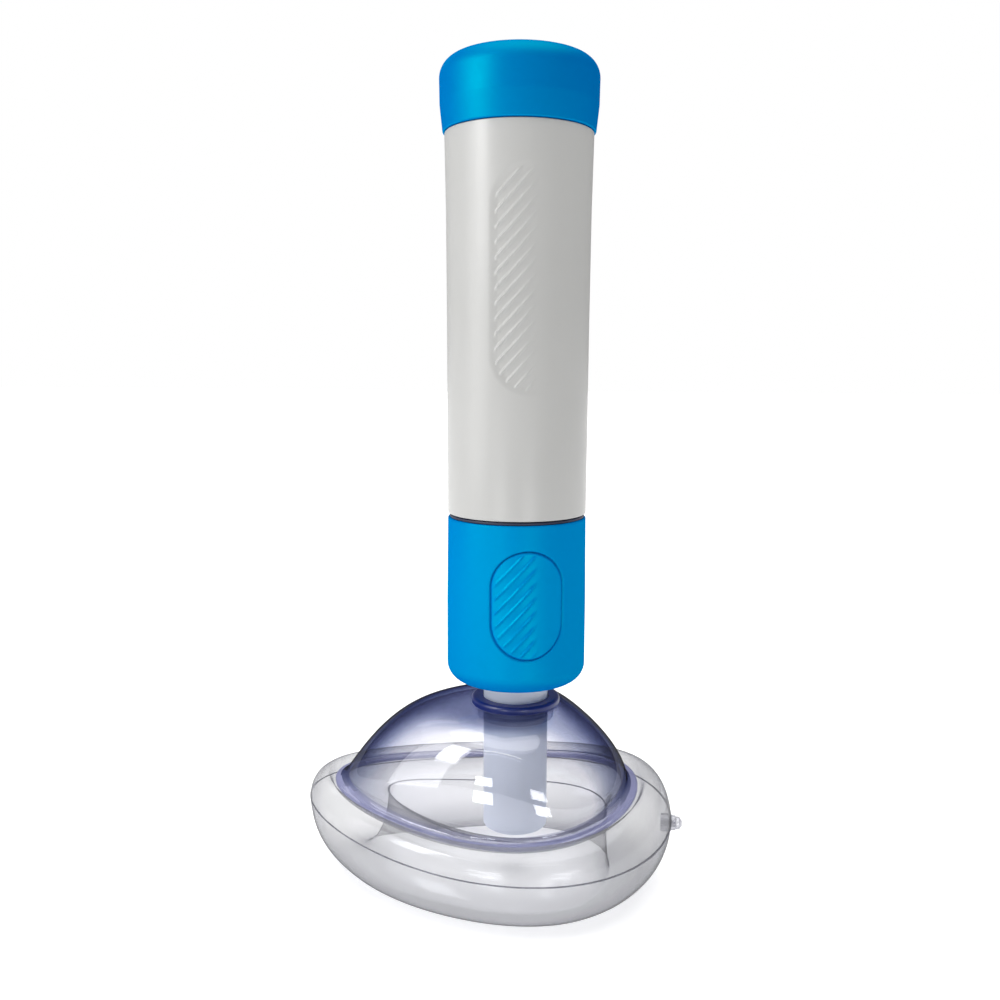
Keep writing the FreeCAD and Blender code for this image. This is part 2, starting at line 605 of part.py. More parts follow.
def piston_crown():
    """The piston's body, with grooves for its seal and guide band, and holes for the exhaust valve."""
    groove = PISTON_GROOVE_R
    lip_low, lip_top = LIP_GROOVE_Z
    band_low, band_top = BAND_GROOVE_Z
    pocket_top = CROWN_BOTTOM_Z + NUT_POCKET
    crown = turned(
        (ROD_END_R, CROWN_TOP_Z), (CROWN_R, CROWN_TOP_Z), (CROWN_R, lip_top), (groove, lip_top),
        (groove, lip_low), (CROWN_R, lip_low), (CROWN_R, band_top), (groove, band_top), (groove, band_low),
        (CROWN_R, band_low), (CROWN_R, CROWN_BOTTOM_Z), (NUT_POCKET_R, CROWN_BOTTOM_Z),
        (NUT_POCKET_R, pocket_top), (ROD_END_R, pocket_top))
    holes = on_circle(disc(EXHAUST_HOLE_R, CROWN_BOTTOM_Z - 1, CROWN_TOP_Z + 1, EXHAUST_CIRCLE), 6)
    return cut_all(crown, holes)


def piston_lip_seal():
    """A cup seal whose lip thins towards the top."""
    low, top = LIP_GROOVE_Z[0] + LOOSE, LIP_GROOVE_Z[1] - LOOSE
    reach = BORE_R - FREE
    return turned(
        (PISTON_GROOVE_R, low), (reach, low), (reach, low + LIP_HEIGHT), (reach - 0.5, top),
        (PISTON_GROOVE_R, top))


def piston_nut():
    """The six-sided nut in the piston's pocket."""
    top = CROWN_BOTTOM_Z + NUT_POCKET
    low = top - NUT_HEIGHT
    turns = [math.radians(60 * index) for index in range(7)]
    corners = [V(NUT_R * math.cos(turn), NUT_R * math.sin(turn), low) for turn in turns]
    block = Part.Face(Part.makePolygon(corners)).extrude(V(0, 0, NUT_HEIGHT))
    return block.cut(disc(ROD_END_R, low - 1, top + 1))


def valve_stop():
    """The collar on the rod that limits the exhaust flap's lift."""
    return turned(
        (ROD_R, CROWN_TOP_Z), (STOP_HUB_R, CROWN_TOP_Z), (STOP_HUB_R, STOP_RIM_Z), (STOP_RIM_R, STOP_RIM_Z),
        (STOP_RIM_R, STOP_TOP_Z), (ROD_R, STOP_TOP_Z))


def make_handle():
    bumper_top = BUSH_BOTTOM_Z - STROKE - FREE
    bumper_low = bumper_top - BUMPER_HEIGHT
    band = ring(BORE_R - RUNNING, PISTON_GROOVE_R, BAND_GROOVE_Z[0] + LOOSE, BAND_GROOVE_Z[1] - LOOSE)
    keep_on_pump("grip_sleeve", grip_sleeve())
    keep_on_pump("top_cap", top_cap())
    keep_on_pump("rod_pin", rod_pin())
    keep_on_pump("sleeve_guide_ring", ring(SLEEVE_INNER_R, CYLINDER_R + RUNNING, *GUIDE_RING_Z))
    keep_on_pump("piston_rod", piston_rod())
    keep_on_pump("piston_crown", piston_crown())
    keep_on_pump("piston_lip_seal", piston_lip_seal())
    keep_on_pump("piston_guide_band", band)
    keep_on_pump("piston_nut", piston_nut())
    keep_on_pump("exhaust_valve_stop", valve_stop())
    keep_on_pump("exhaust_flap", flap(EXHAUST_FLAP_R, STOP_HUB_R + FREE, CROWN_TOP_Z + LOOSE))
    keep_on_pump("stroke_spacer", ring(SPACER_R, ROD_R, STOP_TOP_Z, bumper_low))
    keep_on_pump("stop_bumper", ring(BUMPER_R, ROD_R, bumper_low, bumper_top))


def write_nodes():
    os.makedirs("parts", exist_ok=True)
    for name, shape in NODES.items():
        shape.exportStep("parts/" + name + ".step")
        box = shape.BoundBox
        size = f"{box.XLength:.2f} x {box.YLength:.2f} x {box.ZLength:.2f}"
        state = "valid" if shape.isValid() else "NOT VALID"
        print(f"{name:20s} {len(shape.Solids)} solids, {state}, {shape.Volume:.1f} mm3, {size}")


make_mask()
keep_on_pump("airway_tube", airway_tube())
make_pump()
make_handle()
write_nodes()
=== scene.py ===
"""Airway suction pump standing on a clear air-cushion face mask: the visible surfaces, round the CAD frame.

Lengths below are in millimetres, as on a drawing, and MM turns them into metres. Heights are above the floor.
"""
import json
import math

import bmesh
import bpy
import numpy as np
from mathutils import Matrix, Vector, noise


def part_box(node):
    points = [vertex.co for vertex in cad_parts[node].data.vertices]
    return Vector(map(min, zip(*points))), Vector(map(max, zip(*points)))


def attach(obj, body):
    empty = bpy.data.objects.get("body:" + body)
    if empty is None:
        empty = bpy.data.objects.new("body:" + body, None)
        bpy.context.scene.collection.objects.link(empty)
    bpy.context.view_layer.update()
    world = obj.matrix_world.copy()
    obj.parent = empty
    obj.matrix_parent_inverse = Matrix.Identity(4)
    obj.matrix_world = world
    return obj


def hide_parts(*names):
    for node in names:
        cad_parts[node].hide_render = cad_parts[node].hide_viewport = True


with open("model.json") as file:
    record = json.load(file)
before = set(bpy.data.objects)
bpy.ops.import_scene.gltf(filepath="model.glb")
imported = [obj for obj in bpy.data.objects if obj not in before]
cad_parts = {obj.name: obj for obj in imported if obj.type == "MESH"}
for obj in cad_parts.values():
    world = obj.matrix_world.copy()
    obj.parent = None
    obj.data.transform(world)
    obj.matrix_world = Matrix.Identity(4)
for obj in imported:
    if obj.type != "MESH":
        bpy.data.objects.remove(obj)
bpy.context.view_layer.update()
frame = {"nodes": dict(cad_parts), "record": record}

MM = 0.001
TAU = 2 * math.pi


def node_box(name):
    """A CAD node's lowest and highest corner, in millimetres."""
    low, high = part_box(name)
    return low / MM, high / MM


# ---- sizes ----

tube_low, tube_high = node_box("airway_tube")
PUMP_X = (tube_low.x + tube_high.x) / 2
PUMP_TURN = math.radians(15.7)   # the pump stands swivelled on the mask
MASK_STEPS = 288                 # points round the mask

# Mask outline and heights, the same formulas as the CAD model
OUTER = dict(middle=-5.6, length=63.2, width=50.7)
INNER = dict(middle=-9.3, length=35.2, width=23.0)
RIM = dict(middle=-2.8, length=38.4, width=24.5)      # the opening for the face
BLUNTNESS = 3.7
NOSE_TAPER = 0.19
RING_WIDTH = 28.0
SEAM = (19.9, 5.5, 1.6)          # height at the sides, extra at the nose, extra at the chin
FLOOR_RISE = (0.0, 4.4, 1.8)
RIM_LEVEL = (21.0, 5.5, 1.6)
FLANGE = (27.0, 4.7, 6.0)
LAND_DEPTH = 0.6
BOTTOM_INSET = 18.0
CREST_INSET, CREST_RISE = 7.4, 1.6
VALLEY_START, VALLEY_END = 10.0, 15.2
FLANGE_EDGE, FLANGE_THICK = 10.2, 1.5
FOOT_INSET = 13.2
DOME_WALL = 1.8
DOME_TOP = 60.0
SHOULDER_R, NECK_R = 15.0, 12.6
WALL_TURN = 0.7                  # how far up the wall it starts to turn over into the top
NOSE_CURVE, CHIN_CURVE, SIDE_CURVE = (0.89, 0.34), (1.75, 0.98), (1.93, 0.24)
FILM_GAP = 0.15
PUCKER, SWELL = 0.28, 0.3        # how far the weld and the air draw the film in and out
WELD_HALF = 0.12

# Port, tube and their ring
TUBE_R, TUBE_WALL = 11.0, 1.6
TUBE_FLANGE_Z = 76.3
PORT_BORE_R, PORT_R = 11.05, 13.0
PORT_Z = (55.6, 62.4)
RING_LIP_Z = 62.5

# Pump
SLEEVE_INNER_R, SPIGOT_R = 21.2, 22.7
HOUSING_INNER_R, HOUSING_BORE_R = 20.9, 14.6
CAP_RIM_Z, CAP_ROOF_Z, CAP_HUB_Z = 271.2, 268.8, 251.0
CAP_CROWN_R, CAP_HUB_R = 18.9, 7.5

# Grip pads
PAD_WIDTH = 24.0
PAD_DEPTH = 0.9
PAD_GAP = 0.32
PAD_FACE_R, PAD_BACK_R = 23.2, 22.55
SLEEVE_PAD_Z = (166.1, 236.1)
HOUSING_PAD_Z = (81.1, 116.9)
RIB_HEIGHT = 0.5
RIB_PITCH = 4.6
RIB_SLOPE = math.radians(48)
HOLLOW_DEPTH, HOLLOW_SLOPE = 0.2, 0.034   # the sleeve's hollow at its middle line, and per mm to the left
FINE_HALF_WIDTH = 12.8           # half of the finely meshed strip across a pad
OUTSIDE_R = 22.8                 # all of the pump's inner surfaces are nearer to the axis


# ---- mesh helpers ----

def new_object(name, mesh):
    piece = bpy.data.objects.new(name, mesh)
    bpy.context.scene.collection.objects.link(piece)
    return piece


def finish_mesh(mesh, sharp):
    """Closed, outward-facing and smooth, with edges sharper than an angle kept crisp."""
    work = bmesh.new()
    work.from_mesh(mesh)
    bmesh.ops.remove_doubles(work, verts=work.verts, dist=1e-7)
    bmesh.ops.recalc_face_normals(work, faces=work.faces)
    work.to_mesh(mesh)
    work.free()
    mesh.polygons.foreach_set("use_smooth", [True] * len(mesh.polygons))
    mesh.set_sharp_from_angle(angle=math.radians(sharp))


def band(name, grid, sharp=40):
    """A piece from a grid of points in millimetres, closed both ways: rows go round, columns along."""
    grid = np.asarray(grid, float) * MM
    rows, columns = grid.shape[:2]
    index = np.arange(rows * columns).reshape(rows, columns)
    after = np.roll(index, -1, axis=0)
    faces = np.stack([index, after, np.roll(after, -1, axis=1), np.roll(index, -1, axis=1)], axis=-1)
    mesh = bpy.data.meshes.new(name)
    mesh.from_pydata(grid.reshape(-1, 3).tolist(), [], faces.reshape(-1, 4).tolist())
    finish_mesh(mesh, sharp)
    return new_object(name, mesh)


def rounded(corners, steps=7):
    """Points of a closed outline whose corners are (r, z) or (r, z, radius)."""
    points = []
    for index, corner in enumerate(corners):
        here = np.array(corner[:2], float)
        if len(corner) == 2:
            points.append(here)
            continue
        before = np.array(corners[index - 1][:2], float) - here
        after = np.array(corners[(index + 1) % len(corners)][:2], float) - here
        before /= np.linalg.norm(before)
        after /= np.linalg.norm(after)
        half = math.acos(max(-1.0, min(1.0, float(before @ after)))) / 2
        cut = corner[2] / math.tan(half)
        centre = here + (before + after) / np.linalg.norm(before + after) * corner[2] / math.sin(half)
        start, end = here + before * cut - centre, here + after * cut - centre
        sweep = math.pi - 2 * half
        for step in range(steps + 1):
            share = step / steps
            mixed = (start * math.sin((1 - share) * sweep) + end * math.sin(share * sweep)) / math.sin(sweep)
            points.append(centre + mixed)
    return points


def subdivided(points, spacing, low, high):
    """The outline with points added along its outer steep runs between two heights."""
    dense = []
    for index, here in enumerate(points):
        there = points[(index + 1) % len(points)]
        dense.append(here)
        inside = max(here[1], there[1]) > low and min(here[1], there[1]) < high
        run = abs(there[1] - here[1])
        if inside and run > spacing:
            count = int(run / spacing)
            dense += [here + (there - here) * k / (count + 1) for k in range(1, count + 1)]
    return dense


def even_angles(count=144):
    return [TAU * k / count for k in range(count)]


def pad_angles(half_width, fine, coarse=36):
    """Angles round the pump, finely spaced across the front and back pads."""
    reach = math.asin(half_width / PAD_FACE_R)
    angles = []
    for middle in (-math.pi / 2, math.pi / 2):
        angles += list(np.linspace(middle - reach, middle + reach, fine))
        angles += list(np.linspace(middle + reach, middle + math.pi - reach, coarse)[1:-1])
    return angles


def turned(name, outline, angles=None, shape=None, sharp=40):
    """An outline of (r, z) turned round the pump's axis. shape(angle, r, z) may change the radius."""
    grid = []
    for angle in angles or even_angles():
        row = []
        for r, z in outline:
            radius = shape(angle, r, z) if shape else r
            heading = angle + PUMP_TURN
            row.append((PUMP_X + radius * math.cos(heading), radius * math.sin(heading), z))
        grid.append(row)
    return band(name, grid, sharp)


def smooth_step(low, high, value):
    share = max(0.0, min(1.0, (value - low) / (high - low)))
    return share * share * (3 - 2 * share)


# ---- materials ----

class Nodes:
    """A new node material with short calls for the nodes used here."""

    def __init__(self, name):
        self.material = bpy.data.materials.new(name)
        self.material.use_nodes = True
        self.tree = self.material.node_tree
        self.tree.nodes.clear()
        self.output = self.tree.nodes.new("ShaderNodeOutputMaterial")

    def add(self, kind, **settings):
        node = self.tree.nodes.new(kind)
        for key, value in settings.items():
            if hasattr(node, key):
                setattr(node, key, value)
            else:
                node.inputs[key.replace("_", " ")].default_value = value
        return node

    def link(self, source, target):
        self.tree.links.new(source, target)

    def place(self):
        return self.add("ShaderNodeTexCoord").outputs["Object"]

    def noise(self, scale, detail=3.0):
        node = self.add("ShaderNodeTexNoise", Scale=scale, Detail=detail)
        self.link(self.place(), node.inputs["Vector"])
        return node.outputs["Fac"]

    def spread(self, source, low, high):
        """A 0..1 value mapped to a range."""
        node = self.add("ShaderNodeMapRange")
        node.inputs["To Min"].default_value = low
        node.inputs["To Max"].default_value = high
        self.link(source, node.inputs["Value"])
        return node.outputs["Result"]

    def ramp(self, source, *stops):
        node = self.add("ShaderNodeValToRGB")
        elements = node.color_ramp.elements
        while len(elements) < len(stops):
            elements.new(1.0)
        for element, (position, colour) in zip(elements, stops):
            element.position = position
            element.color = (*colour, 1.0)
        self.link(source, node.inputs["Fac"])
        return node.outputs["Color"]

    def bump(self, source, strength, distance):
        node = self.add("ShaderNodeBump", Strength=strength, Distance=distance)
        self.link(source, node.inputs["Height"])
        return node.outputs["Normal"]


GLOSS_SHARE = 0.09


def plastic(name, dark, light, roughness, grain=0.04, soft=0.0, gloss=None):
    """Moulded plastic: faint cloudy colour, uneven gloss and a fine spark-eroded grain.

    gloss gives the colour of the gloss of a deeply dyed plastic, which stays tinted edge on.
    """
    n = Nodes(name)
    body = n.add("ShaderNodeBsdfPrincipled")
    body.inputs["IOR"].default_value = 1.0 if gloss else 1.45
    body.inputs["Subsurface Weight"].default_value = soft
    body.inputs["Subsurface Radius"].default_value = (0.004, 0.004, 0.005)
    body.inputs["Subsurface Scale"].default_value = 0.5
    n.link(n.ramp(n.noise(22.0, 4.0), (0.3, dark), (0.7, light)), body.inputs["Base Color"])
    uneven = n.spread(n.noise(160.0, 2.0), roughness - 0.04, roughness + 0.05)
    n.link(uneven, body.inputs["Roughness"])
    grained = n.bump(n.noise(2600.0, 2.0), grain, 0.0002)
    n.link(grained, body.inputs["Normal"])
    surface = body.outputs["BSDF"]
    if gloss:
        mirror = n.add("ShaderNodeBsdfGlossy")
        mirror.inputs["Color"].default_value = (*gloss, 1.0)
        n.link(uneven, mirror.inputs["Roughness"])
        n.link(grained, mirror.inputs["Normal"])
        mixed = n.add("ShaderNodeMixShader", Fac=GLOSS_SHARE)
        n.link(surface, mixed.inputs[1])
        n.link(mirror.outputs["BSDF"], mixed.inputs[2])
        surface = mixed.outputs["Shader"]
    n.link(surface, n.output.inputs["Surface"])
    return n.material


def metal(name, colour, roughness):
    n = Nodes(name)
    body = n.add("ShaderNodeBsdfPrincipled", Metallic=1.0)
    paler = tuple(min(1.0, c * 1.08) for c in colour)
    n.link(n.ramp(n.noise(300.0), (0.3, colour), (0.7, paler)), body.inputs["Base Color"])
    n.link(n.spread(n.noise(900.0), roughness - 0.06, roughness + 0.08), body.inputs["Roughness"])
    n.link(body.outputs["BSDF"], n.output.inputs["Surface"])
    return n.material


def clear(name, tints, haze_colour, haze, shine, roughness=0.04, ripple=0.0):
    """A clear wall: what is behind shows through, tinted more the more slantwise it is looked through.

    tints are (slant, colour) stops, from 0 face on to 1 edge on. haze says how milky it is, and shine how
    strongly it mirrors, both face on and edge on.
    """
    n = Nodes(name)
    slant = n.add("ShaderNodeLayerWeight", Blend=0.5).outputs["Facing"]
    through = n.add("ShaderNodeBsdfTransparent")
    n.link(n.ramp(slant, *tints), through.inputs["Color"])
    milk = n.add("ShaderNodeBsdfPrincipled", Roughness=0.35)
    cloudy = tuple(c * 0.94 for c in haze_colour)
    n.link(n.ramp(n.noise(35.0), (0.35, cloudy), (0.65, haze_colour)), milk.inputs["Base Color"])
    mirror = n.add("ShaderNodeBsdfGlossy")
    mirror.inputs["Color"].default_value = (0.95, 0.96, 1.0, 1.0)
    mirror.inputs["Roughness"].default_value = roughness
    if ripple:
        bent = n.bump(n.noise(70.0, 2.0), ripple, 0.001)
        n.link(bent, mirror.inputs["Normal"])
        n.link(bent, milk.inputs["Normal"])
    milky = n.add("ShaderNodeMixShader")
    n.link(n.spread(slant, *haze), milky.inputs["Fac"])
    n.link(through.outputs["BSDF"], milky.inputs[1])
    n.link(milk.outputs["BSDF"], milky.inputs[2])
    sharp = n.add("ShaderNodeMath", operation="POWER")
    sharp.inputs[1].default_value = 3.0
    n.link(slant, sharp.inputs[0])
    shiny = n.add("ShaderNodeMixShader")
    n.link(n.spread(sharp.outputs["Value"], *shine), shiny.inputs["Fac"])
    n.link(milky.outputs["Shader"], shiny.inputs[1])
    n.link(mirror.outputs["BSDF"], shiny.inputs[2])
    n.link(shiny.outputs["Shader"], n.output.inputs["Surface"])
    return n.material


def frosted(name, colour, roughness):
    """Frosted polypropylene: milky, letting light through from behind."""
    n = Nodes(name)
    front = n.add("ShaderNodeBsdfPrincipled", Roughness=roughness)
    back = n.add("ShaderNodeBsdfTranslucent")
    paler = tuple(min(1.0, c * 1.05) for c in colour)
    shade = n.ramp(n.noise(45.0), (0.3, colour), (0.7, paler))
    n.link(shade, front.inputs["Base Color"])
    n.link(shade, back.inputs["Color"])
    n.link(n.bump(n.noise(1800.0), 0.06, 0.0002), front.inputs["Normal"])
    mixed = n.add("ShaderNodeMixShader", Fac=0.35)
    n.link(front.outputs["BSDF"], mixed.inputs[1])
    n.link(back.outputs["BSDF"], mixed.inputs[2])
    n.link(mixed.outputs["Shader"], n.output.inputs["Surface"])
    return n.material


CYAN = (0.0, 1.0, 0.75)

MATERIALS = {
    "blue_cap": plastic("cap_blue_plastic", (0.0, 0.088, 0.39), (0.0, 0.102, 0.42), 0.5, gloss=CYAN),
    "blue_housing": plastic("housing_blue_plastic", (0.0, 0.112, 0.47), (0.0, 0.130, 0.50), 0.5, gloss=CYAN),
    "blue_pad": plastic("pad_blue_plastic", (0.0, 0.122, 0.48), (0.0, 0.137, 0.51), 0.42, gloss=CYAN),
    "grey_sleeve": plastic("sleeve_grey_plastic", (0.455, 0.455, 0.445), (0.48, 0.48, 0.47), 0.34, soft=0.05),
    "clear_dome": clear(
        "dome_clear",
        ((0.0, (0.975, 0.975, 0.985)), (0.28, (0.91, 0.91, 0.94)), (0.46, (0.49, 0.52, 0.63)),
         (0.62, (0.24, 0.27, 0.40)), (0.78, (0.08, 0.10, 0.22)), (0.87, (0.0, 0.003, 0.03))),
        (0.19, 0.20, 0.27), (0.02, 0.03), (0.05, 0.015), 0.02),
    "neck_blue": clear(
        "neck_tinted", ((0.0, (0.02, 0.08, 0.40)), (0.7, (0.01, 0.03, 0.20)), (1.0, (0.0, 0.005, 0.05))),
        (0.0, 0.018, 0.22), (0.75, 0.9), (0.01, 0.04), 0.05),
    "clear_cushion": clear(
        "cushion_clear_film",
        ((0.0, (0.90, 0.90, 0.905)), (0.45, (0.81, 0.81, 0.815)), (0.74, (0.62, 0.62, 0.635)),
         (0.82, (0.42, 0.42, 0.44)), (0.90, (0.08, 0.08, 0.10))),
        (0.42, 0.42, 0.43), (0.10, 0.26), (0.035, 0.10), 0.17, ripple=0.05),
    "clear_valve": clear(
        "valve_clear_plastic",
        ((0.0, (0.88, 0.88, 0.90)), (0.7, (0.62, 0.62, 0.66)), (1.0, (0.15, 0.15, 0.2))),
        (0.6, 0.6, 0.64), (0.25, 0.5), (0.06, 0.5), 0.12),
    "clear_cylinder": clear(
        "cylinder_clear_plastic",
        ((0.0, (0.88, 0.92, 0.94)), (0.7, (0.70, 0.78, 0.82)), (1.0, (0.18, 0.26, 0.32))),
        (0.75, 0.82, 0.86), (0.14, 0.35), (0.05, 0.5), 0.08),
    "frosted_tube": frosted("tube_frosted", (0.82, 0.86, 0.94), 0.38),
    "inner_white": plastic("inner_white_plastic", (0.70, 0.71, 0.70), (0.76, 0.77, 0.76), 0.45, soft=0.1),
    "valve_silicone": plastic("valve_silicone", (0.66, 0.66, 0.60), (0.72, 0.72, 0.66), 0.55, soft=0.2),
    "seal_rubber": plastic("seal_rubber", (0.018, 0.018, 0.02), (0.03, 0.03, 0.032), 0.6, grain=0.15),
    "gasket_navy": plastic("gasket_navy", (0.004, 0.008, 0.035), (0.008, 0.014, 0.05), 0.5, grain=0.1),
    "rod_aluminium": metal("rod_aluminium", (0.78, 0.79, 0.80), 0.24),
    "fastener_steel": metal("fastener_steel", (0.55, 0.55, 0.56), 0.32),
}
DOME_INSIDE_MATERIAL = clear(
    "dome_inside", ((0.0, (0.985, 0.985, 0.99)), (0.3, (0.94, 0.94, 0.96)), (0.5, (0.76, 0.77, 0.84)),
                    (0.75, (0.60, 0.60, 0.70)), (1.0, (0.52, 0.50, 0.60))),
    (0.19, 0.20, 0.27), (0.02, 0.03), (0.03, 0.015), 0.02)
FLANGE_MATERIAL = clear(
    "flange_violet", ((0.0, (0.90, 0.90, 0.96)), (0.6, (0.62, 0.63, 0.80)), (0.95, (0.25, 0.26, 0.48))),
    (0.36, 0.37, 0.58), (0.30, 0.45), (0.05, 0.2), 0.05)
COLLAR_MATERIAL = clear(
    "port_clear", ((0.0, (0.96, 0.96, 0.98)), (0.7, (0.86, 0.87, 0.93)), (0.95, (0.35, 0.38, 0.55))),
    (0.5, 0.5, 0.6), (0.01, 0.06), (0.04, 0.2), 0.05)
SEAM_MATERIAL = clear(
    "cushion_weld", ((0.0, (0.66, 0.66, 0.70)), (0.8, (0.40, 0.40, 0.45)), (1.0, (0.10, 0.10, 0.12))),
    (0.40, 0.40, 0.43), (0.2, 0.4), (0.05, 0.3), 0.2)


def dress(piece, slot, body, *replaced, material=None):
    """Give a new piece its material, its body and the CAD nodes that it stands for."""
    piece.data.materials.clear()
    piece.data.materials.append(material or MATERIALS[slot])
    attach(piece, body)
    if replaced:
        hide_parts(*replaced)
    return piece


def dress_cad_nodes():
    """The CAD nodes that no new piece stands for show as they are, in the same materials."""
    for entry in frame["record"]["subparts"]:
        node = frame["nodes"][entry["node"]]
        node.data.materials.clear()
        node.data.materials.append(MATERIALS[entry["material_slot"]])


# ---- the mask's plan ----

def egg(angle, middle, length, width):
    c = math.cos(angle)
    x = middle + length * c - BLUNTNESS * c * c
    return np.array([x + PUMP_X, width * math.sin(angle) * (1 + NOSE_TAPER * c)])


def inset_point(angle, inset):
    outer, inner = egg(angle, **OUTER), egg(angle, **INNER)
    return outer + (inner - outer) * inset / RING_WIDTH


def height_at(angle, level, power=2):
    """A height that rises towards the nose and the chin."""
    c = math.cos(angle)
    return level[0] + (level[1] if c < 0 else level[2]) * abs(c) ** power


def plan_point(angle, inset, z):
    x, y = inset_point(angle, inset)
    return (x, y, z)


def towards_rim(angle, inset, share, z):
    """A point of the cushion's inner half, a share of the way from an inset to the opening's rim."""
    start = inset_point(angle, inset)
    x, y = start + (egg(angle, **RIM) - start) * share
    return (x, y, z)


# ---- mask pieces ----

def cushion_section(angle):
    """The film's section, from the outer seam over the top to the inside and back along the floor.

    Each point is an inset, a share of the way from there to the opening's rim, and a height.
    """
    seam = height_at(angle, SEAM)
    rim = height_at(angle, RIM_LEVEL)
    flange = height_at(angle, FLANGE)
    bottom = height_at(angle, FLOOR_RISE, 4) - LAND_DEPTH
    crest = flange + CREST_RISE
    valley = flange - FLANGE_THICK - FILM_GAP
    section = []
    for share in np.linspace(0, 1, 15, endpoint=False):
        turn = share * math.pi / 2
        section.append((CREST_INSET * (1 - math.cos(turn)), 0.0, seam + (crest - seam) * math.sin(turn)))
    for share in np.linspace(0, 1, 8, endpoint=False):
        inset = CREST_INSET + (VALLEY_START - CREST_INSET) * share
        section.append((inset, 0.0, crest + (valley - crest) * smooth_step(0, 1, share)))
    for share in np.linspace(0, 1, 4, endpoint=False):
        section.append((VALLEY_START + (VALLEY_END - VALLEY_START) * share, 0.0, valley))
    for share in np.linspace(0, 1, 12, endpoint=False):
        turn = share * math.pi / 2
        section.append((VALLEY_END, math.sin(turn), rim + (valley - rim) * math.cos(turn)))
    for share in np.linspace(0, 1, 20, endpoint=False):
        turn = share * math.pi / 2
        section.append((BOTTOM_INSET, math.cos(turn), max(0.0, rim - (rim - bottom) * math.sin(turn))))
    for share in np.linspace(0, 1, 20, endpoint=False):
        turn = share * math.pi / 2
        z = max(0.0, seam - (seam - bottom) * math.cos(turn))
        section.append((BOTTOM_INSET * (1 - math.sin(turn)), 0.0, z))
    return section


def make_cushion():
    """The inflated film, with the small puckers that a welded seam draws into it."""
    grid = []
    for angle in even_angles(MASK_STEPS):
        seam = height_at(angle, SEAM)
        around = Vector((math.cos(angle), math.sin(angle), 0))
        row = []
        for inset, share, z in cushion_section(angle):
            near_seam = math.exp(-((z - seam) / 3.2) ** 2) if inset < BOTTOM_INSET else 0.0
            pucker = noise.noise(around * 26 + Vector((0, 0, z * 0.06)))
            swell = noise.noise(around * 3 + Vector((0, 0, z * 0.05 + 7)))
            held = smooth_step(8.0, 9.6, inset) * (1 - smooth_step(0.2, 0.6, share)) if z > seam else 0.0
            moved = (PUCKER * pucker * near_seam + SWELL * swell) * smooth_step(0.0, 4.0, z) * (1 - held)
            row.append(towards_rim(angle, inset + moved, share, z))
        grid.append(row)
    film = band("cushion_film", grid)
    dress(film, "clear_cushion", "mask", "mask_cushion")


def make_weld(name, edge, level, reach):
    """The thin welded lip where two sheets of the cushion meet, at an edge given angle by angle."""
    grid = []
    for angle in even_angles(MASK_STEPS):
        z = height_at(angle, level)
        wave = 0.12 * noise.noise(Vector((math.cos(angle) * 9, math.sin(angle) * 9, level[0])))
        tip, tip_half = reach + wave, WELD_HALF * 0.7
        corners = [(-0.35, -WELD_HALF), (-0.35, WELD_HALF), (tip, tip_half), (tip, -tip_half)]
        grid.append([(*edge(angle, across), z + up) for across, up in corners])
    weld = band(name, grid, 60)
    dress(weld, "clear_cushion", "mask", material=SEAM_MATERIAL)


def outer_edge(angle, across):
    return inset_point(angle, -across)


def rim_edge(angle, across):
    rim = egg(angle, **RIM)
    inwards = rim - inset_point(angle, BOTTOM_INSET)
    return rim + inwards / np.linalg.norm(inwards) * across


def dome_section(angle):
    """Points of the shell's section: up the inside, over the top, down the outside and round the flange."""
    flange = height_at(angle, FLANGE)
    c = math.cos(angle)
    end_curve = NOSE_CURVE if c < 0 else CHIN_CURVE
    bulge, fullness = (end * c * c + side * (1 - c * c) for end, side in zip(end_curve, SIDE_CURVE))

    def round_neck(radius, foot):
        heading = math.atan2(foot[1], foot[0] - PUMP_X)
        return np.array([PUMP_X + radius * math.cos(heading), radius * math.sin(heading)])

    def wall(height, depth):
        spread = (1 - height ** bulge) ** fullness
        foot = inset_point(angle, FOOT_INSET + depth)
        neck = round_neck(SHOULDER_R - 0.4 * depth, foot)
        return (*(neck + (foot - neck) * spread), flange + (DOME_TOP - depth - flange) * height)

    turn_spread = (1 - WALL_TURN ** bulge) ** fullness
    spreads = turn_spread * (1 - np.linspace(0, 1, 26))
    heights = list(np.linspace(0.03, WALL_TURN, 22)[:-1])
    heights += [(1 - spread ** (1 / fullness)) ** (1 / bulge) for spread in spreads]
    neck = round_neck(NECK_R, inset_point(angle, FOOT_INSET))
    inside = [wall(height, DOME_WALL) for height in heights] + [(*neck, DOME_TOP - DOME_WALL)]
    outside = [(*neck, DOME_TOP)] + [wall(height, 0.0) for height in reversed(heights)]
    lip = [(FOOT_INSET - 0.5, 0.35), (FOOT_INSET - 1.0, 0.1), (FOOT_INSET - 1.6, 0.0),
           (FLANGE_EDGE + 0.9, 0.0), (FLANGE_EDGE + 0.35, -0.1), (FLANGE_EDGE, -0.45),
           (FLANGE_EDGE, -1.05), (FLANGE_EDGE + 0.35, -1.4), (FLANGE_EDGE + 0.9, -FLANGE_THICK),
           (FOOT_INSET, -FLANGE_THICK),
           (FOOT_INSET + DOME_WALL - 0.4, -FLANGE_THICK), (FOOT_INSET + DOME_WALL, -FLANGE_THICK + 0.4)]
    return inside + outside + [plan_point(angle, inset, flange + z) for inset, z in lip]


